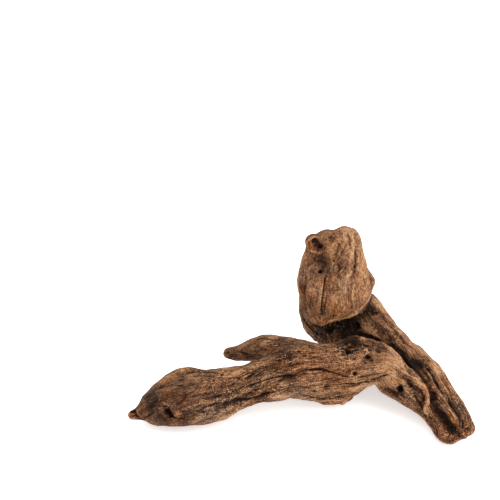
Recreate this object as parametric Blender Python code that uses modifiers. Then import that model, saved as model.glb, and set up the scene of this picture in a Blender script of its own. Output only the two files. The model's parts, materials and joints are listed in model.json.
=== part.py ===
# Driftwood: one forked root, worn smooth by water and sand.
#
# A long trunk lies along X and swells into a club at its left end. A short twig leaves its back.
# At its right end the trunk bends down beside a second limb, and the two run together into a
# blunt broken foot. Behind that fork a neck rises and carries a thick burl that leans back.
#
# The wood is laid up as it grew: every limb is a bundle of round fibre strands, given as
# stations of (x, y, z, radius) in millimetres. The strands are fused into one body, hollows
# are worn into it, and it rests on three flats: club, foot and root base.

import math

import bmesh
import bpy
from mathutils import Euler, Matrix, Vector, noise

MM = 0.001

# Driving dimensions, in millimetres
BURL_CENTRE = (17.8, 32.0, 45.7)
BURL_LEAN_DEG = 30.0
REST_LEVEL = 0.9
FUSE_GRID = 1.0
WEAR_PASSES = 3
SWELL_SIZE, SWELL_DEPTH = 9.0, 1.2
RIPPLE_SIZE, RIPPLE_DEPTH = 3.6, 0.8
STRAND_SIDES = 4
STRAND_STEPS = 6
TRIANGLES = 11000

# Flutes: how many run along a limb, how far they wind round it and how proud they stand
TRUNK_FLUTES, TRUNK_TURN_DEG = 10, 55
LIMB_FLUTES, LIMB_TURN_DEG = 6, 25
NECK_FLUTES, NECK_TURN_DEG = 8, 80
FLUTE_PROUD, FLUTE_UNEVENNESS = 0.3, 1.3
HEART_SHARE = 0.82

# Strands of the trunk, from the club's tip to the right foot
TRUNK = {
    "trunk_heart": [
        (-78.7, -22.6, 7.1, 3.3),
        (-76.6, -22.4, 7.1, 3.1),
        (-74.3, -22, 7.8, 5.4),
        (-70, -20.5, 9.2, 8),
        (-63, -19.5, 11.4, 11),
        (-52, -18, 12.6, 12.6),
        (-41, -16, 12.8, 11.8),
        (-31, -12.3, 13.6, 9.6),
        (-22, -9.2, 15.3, 10),
        (-12.5, -8, 17.2, 11),
        (-3, -4.5, 18.7, 12.8),
        (8.5, -5.8, 18.3, 13),
        (20, -5.3, 19.2, 12.4),
        (31.5, -1.2, 22, 10.2),
        (41, -2.5, 20, 9.9),
        (48, -9, 16.7, 8.9),
        (56, -15.7, 12.6, 7.8),
        (63, -23.8, 9, 7),
        (66.5, -33, 7, 7.1),
    ],
    "club_shoulder": [
        (-62, -14, 16, 6),
        (-56, -11, 19.5, 5),
        (-50, -11, 19.3, 5),
        (-40, -10, 18.9, 5),
        (-28, -6.5, 17.5, 5),
    ],
    "twig_and_back_ridge": [
        (-35, 12.2, 16, 3.2),
        (-29, 11.2, 17, 4.3),
        (-23, 12.2, 18.3, 5.5),
        (-15.5, 10.8, 20.5, 6.9),
        (-5, 5.5, 22.5, 6.8),
        (6.5, 1, 23, 6.5),
        (17.5, 1.5, 24, 6.5),
        (27, 4.5, 24, 7),
        (36.5, 1, 23, 6.3),
        (43.5, -3, 22, 5.3),
    ],
    "twig_root": [(-24, -2, 16.5, 4), (-19, -2, 17.5, 5), (-11, -1, 19, 5)],
    "front_lobe": [
        (-7, -6, 8.5, 4),
        (2, -6.5, 8, 4.6),
        (10, -7.5, 7, 4.6),
        (19, -8.3, 6.9, 4.4),
        (22.5, -8.5, 7.3, 3),
    ],
    "knot": [(42, -8, 14.5, 7), (47.5, -12, 13.5, 6.6), (53, -17, 11.5, 5.5)],
    "fin": [
        (46, -4.5, 23, 4),
        (52, -9.5, 20, 3.2),
        (55.5, -14, 17, 2.8),
        (57, -20, 14, 2.8),
        (58.5, -27, 11, 3),
    ],
}

# Strands of the second limb, from the neck down to the right foot
LIMB = {
    "limb_heart": [
        (38, 30, 22, 8),
        (51, 11.5, 15, 7),
        (59, -4.5, 10, 7),
        (66, -21.5, 7.5, 7),
        (69, -30, 6.5, 6),
    ],
    "limb_outer": [
        (33, 31, 31, 7),
        (39.5, 19, 27, 6.6),
        (48.5, 9, 21, 6.5),
        (57.3, 3.8, 16.8, 6.5),
        (62.6, -4.8, 13.2, 6.2),
        (67, -16, 10, 6.6),
        (70.8, -25.5, 7.5, 6.3),
        (71.8, -32, 6.5, 5.6),
    ],
    "limb_inner": [
        (35.5, 22.5, 25, 6),
        (45, 13.5, 20, 5),
        (53.5, 4.5, 16, 5),
        (60, -4.5, 12.5, 5),
        (64.5, -15.5, 9.5, 5),
        (68, -25.5, 7, 5),
        (70, -32, 6, 4.8),
    ],
}

# Strands of the neck, which stands on the root base and ties the burl to both limbs
NECK = {
    "neck_heart": [
        (29, 33, 9, 7.5),
        (27, 33, 17, 10),
        (22, 34, 30, 11.5),
        (17, 38, 44, 12),
        (15.5, 43, 55, 9.5),
    ],
    "neck_left": [(8, 34, 38, 7.2), (6.8, 29, 29.6, 7.5), (12.3, 26, 21.3, 7.1), (20, 24, 15, 7)],
    "neck_to_trunk": [(28, 26, 14, 8.5), (27, 12, 15, 9), (24, 0, 16, 9)],
    "neck_to_limb": [(24, 36, 30, 9), (31, 33, 28, 8.5), (38, 24, 24, 7.5)],
    "toe_right": [(33, 32, 20, 7), (35.5, 31, 11, 6), (36.5, 29.5, 4.9, 5.4)],
    "toe_left": [(21, 39, 22, 7), (18, 42, 15, 5.6), (16.5, 43.5, 11.5, 4.4)],
    "back_ridge": [(21.5, 49, 60, 4), (24, 48.5, 48, 5.4), (28.5, 44, 33, 6), (33, 37, 18, 6)],
}

# Strands of the burl in its own frame: u to the right, v up along the lean, w to the front
BURL = {
    "burl_heart": [(0, 14, -2, 10), (0, 0, -2, 14), (0, -12, -2, 11)],
    "burl_left": [(-9, 17, 3, 5.2), (-12, 5, 4, 7), (-12, -6, 4, 7), (-9.5, -14.5, 4, 7)],
    "burl_left_middle": [(-5, 19.4, 4, 6), (-4.5, 0, 5.5, 7.5), (-7, -15.5, 5, 7)],
    "burl_middle": [(3, 22, 4, 5), (3, 0, 6.5, 7), (2, -13, 5.5, 6.5)],
    "burl_right_middle": [(6.8, 21.6, 3, 4.4), (8.8, 5, 4, 6.8), (9.3, -5, 4, 7.5), (7.5, -13, 3.5, 6.5)],
    "burl_right": [(9.5, 6, 1, 4), (13.8, -0.5, 2, 5.2), (11.5, -7, 2, 5)],
    "burl_ear": [(-9, 14, 5, 4.5), (-11.5, 18.5, 7, 4.5)],
}

# Channels worn along the surface
CHANNELS = {
    "fork_groove": [
        (30, 21, 30, 2.5),
        (36, 14, 29, 3.4),
        (41, 7, 28.5, 3.5),
        (46.5, -0.5, 27.3, 3.4),
        (51.5, -5, 25, 3.4),
        (55.5, -10.5, 22, 3),
        (57.4, -16.5, 20, 2.6),
        (58.6, -21.6, 17.5, 2.5),
        (60.6, -26.6, 14.7, 2.4),
        (62.2, -29.8, 13.5, 2.4),
        (63.8, -33, 12.9, 2.4),
        (65.6, -36.4, 11.6, 2.3),
        (68.2, -40.5, 9.2, 1.9),
    ],
    "under_burl": [(4, 19, 27, 3.5), (14, 20, 28.5, 5.6), (23, 20, 30, 5.8), (31, 19.5, 31.5, 4)],
    "club_groove": [
        (-48, -30, 17.5, 1.8),
        (-40, -28.5, 18, 2.2),
        (-33, -25, 17.5, 2.2),
        (-24, -20.5, 17, 2.2),
        (-13, -20, 18, 1.6),
    ],
    "burl_groove": [(13.5, 24, 58, 1), (11.5, 19.3, 50, 1.3), (10.5, 14.7, 41, 1.4), (10, 12.2, 34, 1.2)],
}

# Hollows: centre, half-axes and turn in degrees
HOLLOWS = {
    "club_hole": ((-61.5, -29, 14.5), (1.5, 3.4, 3), (0, -35, 0)),
    "ear_hole": ((7.5, 32.5, 67.5), (2.4, 2.8, 2.8), (0, 0, 0)),
    "shoulder_hole": ((30.5, -9, 30), (1.7, 2, 2), (0, 0, 20)),
    "sand_pocket": ((24, -1.2, 32.8), (4.2, 2.8, 3.2), (0, 0, 12)),
    "knot_hole": ((45, -17, 18.5), (1.6, 2.8, 2.2), (0, 0, 0)),
}


def clear_scene():
    for obj in list(bpy.data.objects):
        bpy.data.objects.remove(obj)


def new_collection(name):
    collection = bpy.data.collections.new(name)
    bpy.context.scene.collection.children.link(collection)
    return collection


def wood_material():
    """Water-worn brown wood, matt."""
    material = bpy.data.materials.new("worn_wood")
    material.use_nodes = True
    shader = material.node_tree.nodes["Principled BSDF"]
    shader.inputs["Base Color"].default_value = (0.19, 0.105, 0.055, 1)
    shader.inputs["Roughness"].default_value = 0.85
    shader.inputs["Metallic"].default_value = 0.0
    return material


def from_burl_frame(station):
    """A station of the burl's own frame, in the frame of the whole piece."""
    u, v, w, radius = station
    lean = math.radians(BURL_LEAN_DEG)
    along = Vector((0, math.sin(lean), math.cos(lean)))
    front = Vector((0, -math.cos(lean), math.sin(lean)))
    place = Vector(BURL_CENTRE) + Vector((u, 0, 0)) + v * along + w * front
    return (*place, radius)


def rounded(stations):
    """The stations with both ends drawn out to a dome."""
    def dome(end, inner):
        place = Vector(end[:3])
        out = (place - Vector(inner[:3])).normalized()
        radius = end[3]
        steps = [math.radians(a) for a in (35, 65, 85)]
        return [(*(place + out * radius * math.sin(a)), radius * math.cos(a)) for a in steps]

    return dome(stations[0], stations[1])[::-1] + stations + dome(stations[-1], stations[-2])


def strand(name, stations):
    """One fibre strand, as a tube through its stations."""
    curve = bpy.data.curves.new(name, "CURVE")
    curve.dimensions = "3D"
    curve.bevel_depth = MM
    curve.bevel_resolution = STRAND_SIDES
    curve.use_fill_caps = True
    curve.resolution_u = STRAND_STEPS
    spline = curve.splines.new("BEZIER")
    path = rounded(stations)
    spline.bezier_points.add(len(path) - 1)
    for point, (x, y, z, radius) in zip(spline.bezier_points, path):
        point.co = Vector((x, y, z)) * MM
        point.radius = radius
        point.handle_left_type = "AUTO"
        point.handle_right_type = "AUTO"
    return bpy.data.objects.new(name, curve)


def flutes(name, heart, count, turn_deg):
    """Ridges of fibre round a limb's heart, winding slowly along it."""
    places = [Vector(s[:3]) for s in heart]
    ridges = {}
    for i in range(count):
        path = []
        sway = 0.8 * noise.noise(Vector((3.7 * i, 0.5, count)))
        for k, (place, station) in enumerate(zip(places, heart)):
            ahead = (places[min(k + 1, len(places) - 1)] - places[max(k - 1, 0)]).normalized()
            side = ahead.cross(Vector((0, 0, 1))).normalized()
            up = side.cross(ahead)
            angle = math.radians(360 * (i + sway) / count + turn_deg * k / len(places))
            out = side * math.cos(angle) + up * math.sin(angle)
            thick = station[3] * (1.2 + 0.3 * sway) * math.sin(math.pi / count)
            uneven = FLUTE_UNEVENNESS * noise.noise(place / 9 + Vector((0, 7 * i, 0)))
            path.append((*(place + out * (station[3] - thick + FLUTE_PROUD + uneven)), thick))
        ridges[f"{name}_{i}"] = path
    return ridges


def bundle(strands, collection):
    """All strands as one mesh object of closed tubes."""
    joined = bmesh.new()
    for obj in strands:
        collection.objects.link(obj)
    bpy.context.view_layer.update()
    graph = bpy.context.evaluated_depsgraph_get()
    for obj in strands:
        mesh = bpy.data.meshes.new_from_object(obj.evaluated_get(graph))
        tube = bmesh.new()
        tube.from_mesh(mesh)
        bmesh.ops.remove_doubles(tube, verts=tube.verts, dist=1e-6)
        bmesh.ops.recalc_face_normals(tube, faces=tube.faces)
        tube.to_mesh(mesh)
        tube.free()
        joined.from_mesh(mesh)
        bpy.data.meshes.remove(mesh)
        bpy.data.objects.remove(obj)
    mesh = bpy.data.meshes.new("driftwood")
    joined.to_mesh(mesh)
    joined.free()
    obj = bpy.data.objects.new("driftwood", mesh)
    collection.objects.link(obj)
    return obj


def hollow(name, centre, half_axes, turn, collection):
    """A worn hollow, as an egg-shaped cutter."""
    mesh = bpy.data.meshes.new(name)
    egg = bmesh.new()
    bmesh.ops.create_uvsphere(egg, u_segments=20, v_segments=12, radius=1.0)
    shape = Matrix.Diagonal((*half_axes, 1))
    place = Matrix.Translation(Vector(centre))
    spin = Euler([math.radians(a) for a in turn]).to_matrix().to_4x4()
    egg.transform(Matrix.Scale(MM, 4) @ place @ spin @ shape)
    egg.to_mesh(mesh)
    egg.free()
    obj = bpy.data.objects.new(name, mesh)
    obj.hide_render = True
    obj.display_type = "WIRE"
    collection.objects.link(obj)
    return obj


def channel(name, stations, collection):
    """A worn channel, as a tube-shaped cutter."""
    tube = bundle([strand(name, stations)], collection)
    tube.name = name
    tube.hide_render = True
    tube.display_type = "WIRE"
    return tube


def displace(obj, name, size, depth):
    """Uneven wear of one wavelength."""
    texture = bpy.data.textures.new(name, "CLOUDS")
    texture.noise_scale = size * MM
    texture.noise_depth = 1
    modifier = obj.modifiers.new(name, "DISPLACE")
    modifier.texture = texture
    modifier.texture_coords = "LOCAL"
    modifier.strength = depth * MM
    modifier.mid_level = 0.5


def fuse(obj, name):
    modifier = obj.modifiers.new(name, "REMESH")
    modifier.mode = "VOXEL"
    modifier.voxel_size = FUSE_GRID * MM


def wear(obj, cutters):
    """Fuses the strands, opens the hollows and rounds everything off."""
    fuse(obj, "fuse")
    cut = obj.modifiers.new("hollows", "BOOLEAN")
    cut.operation = "DIFFERENCE"
    cut.operand_type = "COLLECTION"
    cut.collection = cutters
    fuse(obj, "even_out")
    smooth = obj.modifiers.new("wear", "SMOOTH")
    smooth.factor = 0.5
    smooth.iterations = WEAR_PASSES
    displace(obj, "swell", SWELL_SIZE, SWELL_DEPTH)
    displace(obj, "ripple", RIPPLE_SIZE, RIPPLE_DEPTH)
    bpy.context.view_layer.update()
    graph = bpy.context.evaluated_depsgraph_get()
    count = sum(len(p.vertices) - 2 for p in obj.evaluated_get(graph).data.polygons)
    thin = obj.modifiers.new("thin_out", "DECIMATE")
    thin.ratio = TRIANGLES / count


def bake(obj):
    """The object's modifiers, applied."""
    bpy.context.view_layer.update()
    graph = bpy.context.evaluated_depsgraph_get()
    mesh = bpy.data.meshes.new_from_object(obj.evaluated_get(graph))
    obj.modifiers.clear()
    obj.data = mesh


def set_down(obj):
    """Cuts the three resting flats and moves the origin to the middle of the base."""
    body = bmesh.new()
    body.from_mesh(obj.data)
    plane = {"plane_co": (0, 0, REST_LEVEL * MM), "plane_no": (0, 0, 1)}
    every = body.verts[:] + body.edges[:] + body.faces[:]
    cut = bmesh.ops.bisect_plane(body, geom=every, clear_inner=True, **plane)
    rims = [e for e in cut["geom_cut"] if isinstance(e, bmesh.types.BMEdge)]
    bmesh.ops.holes_fill(body, edges=rims, sides=0)
    bmesh.ops.recalc_face_normals(body, faces=body.faces)
    xs = [v.co.x for v in body.verts]
    ys = [v.co.y for v in body.verts]
    middle = Vector(((min(xs) + max(xs)) / 2, (min(ys) + max(ys)) / 2, REST_LEVEL * MM))
    bmesh.ops.translate(body, vec=-middle, verts=body.verts)
    print("middle of the base, mm:", [round(c / MM, 3) for c in middle])
    body.to_mesh(obj.data)
    body.free()


def build():
    clear_scene()
    wood = new_collection("driftwood")
    cutters = new_collection("cutters")
    laid = {**TRUNK, **LIMB, **NECK}
    laid |= {name: [from_burl_frame(s) for s in stations] for name, stations in BURL.items()}
    for name, first, count, turn_deg in (
        ("trunk_heart", 3, TRUNK_FLUTES, TRUNK_TURN_DEG),
        ("limb_outer", 0, LIMB_FLUTES, LIMB_TURN_DEG),
        ("neck_heart", 0, NECK_FLUTES, NECK_TURN_DEG),
    ):
        laid |= flutes(name, laid[name][first:], count, turn_deg)
        laid[name] = [(x, y, z, HEART_SHARE * r) for x, y, z, r in laid[name]]
    obj = bundle([strand(name, stations) for name, stations in laid.items()], wood)
    for name, stations in CHANNELS.items():
        channel(name, stations, cutters)
    for name, (centre, half_axes, turn) in HOLLOWS.items():
        hollow(name, centre, half_axes, turn, cutters)
    wear(obj, cutters)
    bake(obj)
    set_down(obj)
    obj.data.materials.clear()
    obj.data.materials.append(wood_material())
    obj.data.shade_smooth()
    return obj


build()
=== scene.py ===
import json
import math
import bmesh
import bpy
import numpy as np
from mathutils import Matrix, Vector
from mathutils.bvhtree import BVHTree

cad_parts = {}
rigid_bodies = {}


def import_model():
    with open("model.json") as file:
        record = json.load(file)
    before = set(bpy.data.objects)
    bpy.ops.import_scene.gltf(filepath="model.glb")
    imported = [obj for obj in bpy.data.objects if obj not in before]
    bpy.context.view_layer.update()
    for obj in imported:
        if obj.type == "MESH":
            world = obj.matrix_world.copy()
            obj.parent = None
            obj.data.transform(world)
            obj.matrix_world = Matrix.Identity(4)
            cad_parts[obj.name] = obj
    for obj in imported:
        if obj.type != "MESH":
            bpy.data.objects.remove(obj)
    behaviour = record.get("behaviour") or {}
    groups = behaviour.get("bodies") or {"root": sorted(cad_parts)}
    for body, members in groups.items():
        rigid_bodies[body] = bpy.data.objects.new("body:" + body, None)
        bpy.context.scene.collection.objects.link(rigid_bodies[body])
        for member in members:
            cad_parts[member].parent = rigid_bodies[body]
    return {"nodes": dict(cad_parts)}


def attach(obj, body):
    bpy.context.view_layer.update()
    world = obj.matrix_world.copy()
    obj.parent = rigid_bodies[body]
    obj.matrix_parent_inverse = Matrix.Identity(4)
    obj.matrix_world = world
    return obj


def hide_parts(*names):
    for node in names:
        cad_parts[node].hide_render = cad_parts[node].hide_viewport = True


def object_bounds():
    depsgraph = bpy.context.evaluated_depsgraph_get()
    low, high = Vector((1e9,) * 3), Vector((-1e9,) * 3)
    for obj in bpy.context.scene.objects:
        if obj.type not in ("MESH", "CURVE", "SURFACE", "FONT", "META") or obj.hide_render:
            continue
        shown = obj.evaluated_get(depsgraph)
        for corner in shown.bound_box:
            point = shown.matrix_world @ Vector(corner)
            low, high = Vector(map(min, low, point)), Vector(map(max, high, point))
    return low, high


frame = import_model()
cadBox = [list(corner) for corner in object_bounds()]
mm = 0.001
print("frame loaded")

# camera

photoView = {
    "place": (-22.64, -370.71, 308.92),  # mm
    "tiltDeg": 58.0,
    "lens": 70.0,  # mm
    "sensor": 36.0,  # mm
    "picture": 500,  # pixels each way
    "clipStart": 0.01,  # m
    "depth": 430,  # mm from the camera to the wood, roughly
}


def makeCamera():
    data = bpy.data.cameras.new("photoCamera")
    data.lens = photoView["lens"]
    data.sensor_width = photoView["sensor"]
    data.clip_start = photoView["clipStart"]
    camera = bpy.data.objects.new("photoCamera", data)
    camera.location = Vector(photoView["place"]) * mm
    camera.rotation_euler = (math.radians(photoView["tiltDeg"]), 0, 0)
    bpy.context.scene.collection.objects.link(camera)
    bpy.context.scene.camera = camera
    bpy.context.view_layer.update()
    return camera


camera = makeCamera()
print("camera set")

# the fine body: the solid's own shape, with cells fine enough to carve

body = {
    "joined": 1e-6,  # m, corners closer than this are one
    "cell": 0.59,  # mm
    "softening": 10,  # rounds
}

# the burl's front is one full, rounded face: across to the right, up along its lean, out to the front
burlFace = {
    "middle": (19.44, 24.27, 44.8),  # mm
    "leanDeg": 30.0,
    "across": (-19, 16),  # mm from the middle, as the next three
    "up": (-22, 25),
    "out": 5.5,
    "ear": (-3, 9),  # left of this and above this is the ear, which stays apart
}


def fillBurl(shell):  # spans the valleys between the strands of the burl's front
    lean = math.radians(burlFace["leanDeg"])
    upward = Vector((0, math.sin(lean), math.cos(lean)))
    forward = Vector((0, -math.cos(lean), math.sin(lean)))
    left, right = burlFace["across"]
    foot, top = burlFace["up"]
    earSide, earFoot = burlFace["ear"]
    front = []
    for vert in shell.verts:
        away = vert.co / mm - Vector(burlFace["middle"])
        across, up, out = away.x, away.dot(upward), away.dot(forward)
        ear = across < earSide and up > earFoot
        if left < across < right and foot < up < top and out > burlFace["out"] and not ear:
            front.append(vert.co.copy())
    corners = [shell.verts.new(place) for place in front]
    hull = bmesh.ops.convex_hull(shell, input=corners)
    unused = hull["geom_interior"] + hull["geom_unused"]
    spare = {item for item in unused if isinstance(item, bmesh.types.BMVert)}
    bmesh.ops.delete(shell, geom=list(spare), context="VERTS")


def fineCopy(node, name):
    mesh = node.data.copy()
    shell = bmesh.new()
    shell.from_mesh(mesh)
    bmesh.ops.remove_doubles(shell, verts=shell.verts, dist=body["joined"])
    fillBurl(shell)
    shell.to_mesh(mesh)
    shell.free()
    piece = bpy.data.objects.new(name, mesh)
    bpy.context.scene.collection.objects.link(piece)
    even = piece.modifiers.new("even", "REMESH")
    even.mode = "VOXEL"
    even.voxel_size = body["cell"] * mm
    soften = piece.modifiers.new("soften", "SMOOTH")
    soften.factor = 0.5
    soften.iterations = body["softening"]
    bpy.context.view_layer.update()
    graph = bpy.context.evaluated_depsgraph_get()
    fine = bpy.data.meshes.new_from_object(piece.evaluated_get(graph))
    piece.modifiers.clear()
    piece.data = fine
    return piece


def readVectors(mesh, what):
    values = np.empty(len(mesh.vertices) * 3, np.float32)
    mesh.vertices.foreach_get(what, values)
    return values.reshape(-1, 3).astype(float)


wood = fineCopy(frame["nodes"]["driftwood"], "driftwoodFine")
places = readVectors(wood.data, "co") / mm  # all carving is in mm
outward = readVectors(wood.data, "normal")
edges = np.empty(len(wood.data.edges) * 2, np.int32)
wood.data.edges.foreach_get("vertices", edges)
edgeStarts, edgeEnds = edges.reshape(-1, 2).T
neighbours = np.bincount(edgeStarts, minlength=len(places)) + np.bincount(edgeEnds, minlength=len(places))
print("fine body:", len(places), "vertices,", 2 * len(wood.data.polygons), "triangles")


def spread(values, rounds):  # evens a value out over the surface
    for _ in range(rounds):
        around = np.bincount(edgeStarts, values[edgeEnds], len(values))
        around += np.bincount(edgeEnds, values[edgeStarts], len(values))
        values = 0.5 * (values + around / neighbours)
    return values


def spreadVectors(values, rounds):
    return np.stack([spread(values[:, axis], rounds) for axis in range(3)], 1)


def smoothStep(values, low, high):
    t = np.clip((values - low) / (high - low), 0, 1)
    return t * t * (3 - 2 * t)


# smooth noise through the wood, from random values at the corners of a lattice

lattice = {
    "seed": 4,
    "values": 8192,
    "stir": (73856093, 19349663, 83492791),  # large primes, so that no two rows of corners are alike
    "shift": 37.3,  # between one pattern and the next
}
latticeTable = np.random.default_rng(lattice["seed"]).uniform(-1, 1, lattice["values"])


def cellCorners(part):  # the eight corners of each point's cell, with their shares
    for corner in range(8):
        step = np.array([corner & 1, corner >> 1 & 1, corner >> 2])
        yield step, np.prod(np.where(step, part, 1 - part), axis=1)


def solidNoise(points, size, seed):  # about -1 to 1
    at = points / size + lattice["shift"] * seed
    base = np.floor(at).astype(np.int64)
    part = at - base
    total = np.zeros(len(points))
    for step, share in cellCorners(part * part * (3 - 2 * part)):
        x, y, z = ((base + step) * lattice["stir"]).T
        total += share * latticeTable[(x ^ y ^ z) % lattice["values"]]
    return total


# the run of the fibres, along lines through each limb

fibreLines = {
    "trunk": [(-76.7, -29.7, 6.1), (-61.7, -27.2, 10.5), (-44.7, -24.7, 11.8), (-29.7, -20, 12.7),
              (-14.7, -16.2, 15.6), (-1.7, -12.2, 17.8), (13.3, -13.2, 17.6), (26.3, -11.7, 19.1),
              (36.3, -9.2, 20.6), (44.3, -11.7, 18.1), (51.3, -18.7, 14.6), (58.3, -24.7, 11.1),
              (64.3, -31.7, 8.1), (68.3, -41.7, 6.1)],
    "twig": [(-35.7, 5, 15.1), (-27.7, 3.5, 16.1), (-20.7, 4.3, 17.6), (-11.7, 1.8, 20.1), (-1.7, -3.2, 21.8),
             (9.3, -6.7, 22.3), (21.3, -5.7, 23.1), (31.3, -4.2, 23.1), (40.3, -7.7, 21.6)],
    "limbOuter": [(21.3, 27.3, 45.1), (28.3, 25.8, 37.1), (34.3, 23.3, 30.1), (40.8, 11.3, 26.1),
                  (49.8, 1.3, 20.1), (58.3, -4.2, 15.6), (63.6, -12.7, 12.1), (68.3, -23.7, 9.1),
                  (72.1, -33.2, 6.6), (73.1, -41.7, 5.6)],
    "limbInner": [(30.3, 22.3, 29.1), (36.8, 14.8, 24.1), (46.3, 5.8, 19.1), (54.8, -3.2, 15.1),
                  (61.3, -12.2, 11.6), (65.8, -23.2, 8.6), (69.3, -33.2, 6.1), (71.3, -41.7, 5.1)],
    "neckLeft": [(9.3, 26.3, 37.1), (8.3, 21.3, 29.1), (13.8, 18.3, 20.6), (21.3, 16.3, 14.1)],
    "neckBack": [(16.8, 35.3, 54.1), (18.3, 30.3, 43.1), (23.3, 26.3, 29.1), (28.3, 25.3, 16.1),
                 (33.3, 25.3, 8.1), (37.3, 22.3, 3.1)],
    "backRidge": [(22.8, 41.3, 59.1), (25.3, 40.8, 47.1), (29.8, 36.3, 32.1), (34.3, 29.3, 17.1)],
    "toeLeft": [(22.3, 31.3, 21.1), (19.3, 34.3, 14.1), (17.8, 35.8, 9.1)],
    "burlLeft": [(10.6, 32.7, 65.4), (7.1, 23.8, 52), (7.1, 17.8, 41.6), (10.1, 11.8, 31.2)],
    "burlMiddle": [(20.1, 33.3, 68.5), (19.1, 23.1, 54.7), (18.1, 16.1, 42.6), (17.1, 9.9, 30)],
    "burlRight": [(27.1, 33.7, 67.1), (30.1, 23.8, 52), (30.6, 18.3, 42.5), (26.1, 12.7, 30.7)],
}
fibre = {
    "grid": 2.5,  # mm between the points where the run is worked out
    "margin": 15,  # mm of grid round the wood
    "blend": 4,  # mm2, how softly one line gives way to the next
    "wave": 0.3,  # how far the fibres stray from their line
    "waveSize": 7,  # mm
    "waveSeed": 40,
    "burlWave": 0.8,  # how much further they stray in the burl
    "burlRadius": 18,  # mm
    "step": 1.2,  # mm, between the places on a fibre where noise is read
    "steps": 12,  # such places each way
}


def fibreRun(points):  # direction of the nearest fibre lines, blended
    total = np.zeros_like(points)
    for line in fibreLines.values():
        for start, end in zip(line, line[1:]):
            start, end = np.array(start), np.array(end)
            along = end - start
            t = np.clip((points - start) @ along / (along @ along), 0, 1)
            gap = ((points - start - t[:, None] * along) ** 2).sum(1)
            total += (along / np.linalg.norm(along)) / (gap + fibre["blend"])[:, None] ** 3
    return total / np.linalg.norm(total, axis=1)[:, None]


gridLow = places.min(0) - fibre["margin"]
gridSize = np.ceil((places.max(0) + fibre["margin"] - gridLow) / fibre["grid"]).astype(int) + 1
gridSteps = np.meshgrid(*[np.arange(count) for count in gridSize], indexing="ij")
gridPoints = gridLow + np.stack(gridSteps, -1).reshape(-1, 3) * fibre["grid"]
waves = [solidNoise(gridPoints, fibre["waveSize"], fibre["waveSeed"] + axis) for axis in range(3)]
inBurl = np.exp(-(((gridPoints - burlFace["middle"]) / fibre["burlRadius"]) ** 2).sum(1))
stray = (fibre["wave"] + fibre["burlWave"] * inBurl)[:, None] * np.stack(waves, 1)
gridRun = (fibreRun(gridPoints) + stray).reshape(*gridSize, 3)


def runAt(points):  # the run of the fibres between grid points
    cell = (points - gridLow) / fibre["grid"]
    base = np.clip(np.floor(cell).astype(int), 0, gridSize - 2)
    total = np.zeros_like(points)
    for step, share in cellCorners(np.clip(cell - base, 0, 1)):
        x, y, z = (base + step).T
        total += share[:, None] * gridRun[x, y, z]
    return total / (np.linalg.norm(total, axis=1)[:, None] + 1e-9)


def followFibres():  # the places to read noise at, along each vertex's own fibre
    threads = {0: places}
    for way in (1, -1):
        at = places
        for k in range(1, fibre["steps"] + 1):
            at = at + way * fibre["step"] * runAt(at)
            threads[way * k] = at
    return threads


threads = followFibres()


def fibreNoise(size, reach, seed):  # noise drawn out along the fibres, evenly strong
    total = np.zeros(len(places))
    for k, at in threads.items():
        offset = abs(k) * fibre["step"] / reach
        if offset < 1:
            total += math.cos(offset * math.pi / 2) ** 2 * solidNoise(at, size, seed)
    return (total - total.mean()) / total.std()


fibrePatterns = {  # size and reach along the fibres in mm, and the seed
    "broad": (5.0, 14, 1),
    "ridges": (2.8, 12, 2),
    "threads": (1.7, 7, 3),
    "checkPlace": (6, 10, 21),
    "fineCheckPlace": (4, 7, 22),
    "checkLine": (4.2, 14, 23),  # a check runs where this is zero
    "fineCheckLine": (2.6, 9, 24),
    "dashes": (1.8, 4, 28),
}
solidPatterns = {  # size in mm and seed
    "patches": (16, 5),
    "finePatches": (8, 6),
    "mottle": (3.2, 7),
    "fineMottle": (1.8, 8),
    "wander": (2.2, 11),
    "ragged": (1.3, 12),
    "pits": (1.9, 25),
    "eaten": (2.2, 26),
    "fineEaten": (1.4, 27),
    "tint": (9, 31),
    "fineTint": (4, 32),
}
pattern = {name: fibreNoise(*values) for name, values in fibrePatterns.items()}
for name, values in solidPatterns.items():
    pattern[name] = solidNoise(places, *values)
pattern["patches"] += 0.5 * pattern["finePatches"]
pattern["mottle"] += 0.6 * pattern["fineMottle"]
print("fibres laid")

# where a pixel of the photograph lies on the wood

surface = BVHTree.FromPolygons([Vector(p) for p in places], [tuple(f.vertices) for f in wood.data.polygons])


def onWood(px, py):  # where the camera's ray through a pixel meets the wood, in mm
    scale = photoView["sensor"] / photoView["lens"] / photoView["picture"]
    half = photoView["picture"] / 2
    eye = Vector(photoView["place"])
    ray = camera.matrix_world.to_3x3() @ Vector(((px - half) * scale, (half - py) * scale, -1))
    hit, _, _, _ = surface.ray_cast(eye, ray.normalized())
    if hit is None:  # just off the edge
        hit = surface.find_nearest(eye + ray * photoView["depth"])[0]
    return np.array(hit)


def gapTo(pixel):  # each vertex's distance in mm from a pixel's place
    return np.linalg.norm(places - onWood(*pixel), axis=1)


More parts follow.
